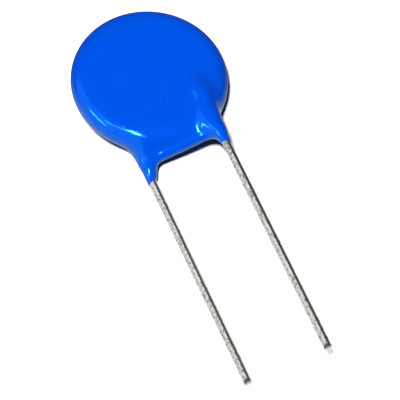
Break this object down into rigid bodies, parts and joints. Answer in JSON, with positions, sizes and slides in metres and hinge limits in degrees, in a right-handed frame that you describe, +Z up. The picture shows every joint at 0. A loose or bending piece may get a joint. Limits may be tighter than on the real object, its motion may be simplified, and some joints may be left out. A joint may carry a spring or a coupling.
{
  "type": "disc varistor",
  "caption": "Radial-leaded disc varistor: a round disc dipped in glossy blue epoxy, with a straight tinned wire lead leaving each face side by side.",
  "frame": {"origin": "on the surface that the part lies on, under the middle of its bounding box", "axes": "+Y from the lead ends towards the disc, +Z up off the surface, out of the front face; +X across the leads, on the front lead's side"},
  "size_m": [0.0154, 0.0406, 0.0041],
  "materials": {
    "blue_epoxy": "glossy dipped epoxy, smooth",
    "zinc_oxide": "matt sintered, fine grain",
    "silver_paste": "matt fired silver",
    "solder": "satin, slightly rippled",
    "tinned_wire": "satin tin plating with fine drawing marks"
  },
  "bodies": {
    "root": {"epoxy_coating": "blue_epoxy", "ceramic_disc": "zinc_oxide", "front_electrode": "silver_paste", "rear_electrode": "silver_paste", "front_solder": "solder", "rear_solder": "solder", "front_lead": "tinned_wire", "rear_lead": "tinned_wire"}
  },
  "joints": []
}
